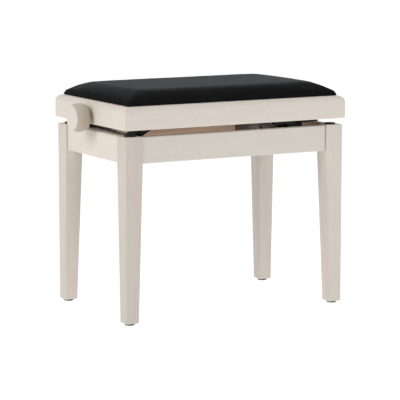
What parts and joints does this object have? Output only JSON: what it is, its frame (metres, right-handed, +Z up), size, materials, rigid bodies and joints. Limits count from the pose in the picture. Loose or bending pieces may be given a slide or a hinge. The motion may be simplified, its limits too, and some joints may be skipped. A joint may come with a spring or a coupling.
{
  "type": "piano bench",
  "caption": "Height-adjustable piano bench: tapered limewashed wooden stand, screw-driven scissor lift with a side knob, and a padded velvet seat.",
  "frame": {"origin": "on the floor plane under the foot glides, at the centre of the legs' outline", "axes": "+X along the bench away from the knob, +Y to the back, +Z up"},
  "size_m": [0.592, 0.346, 0.5028],
  "materials": {
    "limewashed_wood": "white-stained, open grain, matt varnish",
    "knob_wood": "white-stained, turned, satin varnish",
    "raw_wood": "plain beech, uncoated",
    "velvet": "short-pile velvet",
    "black_steel": "black powder coat, semi-gloss",
    "plated_steel": "zinc-plated",
    "brass": "turned brass",
    "bumper_rubber": "matt black rubber",
    "glide_plastic": "dark plastic"
  },
  "bodies": {
    "stand": {"leg_front_left": "limewashed_wood", "leg_front_right": "limewashed_wood", "leg_rear_left": "limewashed_wood", "leg_rear_right": "limewashed_wood", "apron_front": "limewashed_wood", "apron_rear": "limewashed_wood", "apron_left": "limewashed_wood", "apron_right": "limewashed_wood", "apron_dowels": "raw_wood", "corner_blocks": "raw_wood", "corner_bolts": "plated_steel", "corner_nuts": "plated_steel", "leg_bumpers": "bumper_rubber", "foot_glides": "glide_plastic", "lower_rail_front": "black_steel", "lower_rail_rear": "black_steel", "lower_rail_screws": "plated_steel", "lower_pivot_studs": "plated_steel", "lower_pivot_washers": "plated_steel", "lower_pivot_rings": "plated_steel"},
    "outer_arms": {"outer_arm_front": "black_steel", "outer_arm_rear": "black_steel", "outer_arm_tie": "black_steel"},
    "inner_arms": {"inner_arm_front": "black_steel", "inner_arm_rear": "black_steel", "slide_bar": "black_steel", "slide_bar_bolt": "brass", "lower_slide_bushes": "brass", "lower_slide_rings": "black_steel", "centre_rivets": "plated_steel", "centre_washers": "plated_steel"},
    "nut_carriage": {"nut_bar": "black_steel", "spindle_nut": "brass", "upper_slide_bushes": "brass", "upper_slide_rings": "black_steel"},
    "seat": {"seat_rail_front": "limewashed_wood", "seat_rail_rear": "limewashed_wood", "seat_rail_left": "limewashed_wood", "seat_rail_right": "limewashed_wood", "seat_board": "raw_wood", "seat_cushion": "velvet", "seat_corner_blocks": "raw_wood", "seat_board_screws": "plated_steel", "upper_rail_front": "black_steel", "upper_rail_rear": "black_steel", "upper_rail_screws": "plated_steel", "upper_cross_right": "black_steel", "bearing_plate": "black_steel", "bearing_plate_screws": "plated_steel", "spindle_bush": "brass", "upper_pivot_shaft": "plated_steel", "upper_pivot_washers": "plated_steel", "upper_pivot_rings": "plated_steel"},
    "spindle_and_knob": {"spindle": "plated_steel", "spindle_ring": "plated_steel", "knob_collar": "plated_steel", "knob": "knob_wood"}
  },
  "joints": [
    {"name": "outer_arm_lift", "type": "hinge", "parent": "stand", "child": "outer_arms", "pos_m": [-0.235, 0, 0.4], "axis": [0, -1, 0], "range_deg": [-1.6, 14.12]},
    {"name": "inner_arm_cross", "type": "hinge", "parent": "outer_arms", "child": "inner_arms", "pos_m": [-0.0375, 0, 0.423], "axis": [0, -1, 0], "range_deg": [-28.34, 3.3]},
    {"name": "seat_lift", "type": "hinge", "parent": "inner_arms", "child": "seat", "pos_m": [-0.235, 0, 0.446], "axis": [0, -1, 0], "range_deg": [-1.65, 14.17]},
    {"name": "nut_level", "type": "hinge", "parent": "outer_arms", "child": "nut_carriage", "pos_m": [0.16, 0, 0.446], "axis": [0, -1, 0], "range_deg": [-14.17, 1.65]},
    {"name": "knob_turn", "type": "hinge", "parent": "seat", "child": "spindle_and_knob", "pos_m": [-0.275, 0, 0.434], "axis": [1, 0, 0], "range_deg": [-330, 2800]}
  ],
  "couplings": [
    {"joint": "inner_arm_cross", "follows": "outer_arm_lift", "ratio": -2},
    {"joint": "seat_lift", "follows": "outer_arm_lift", "ratio": 1},
    {"joint": "nut_level", "follows": "outer_arm_lift", "ratio": -1},
    {"joint": "knob_turn", "follows": "outer_arm_lift", "ratio": 196.9}
  ]
}
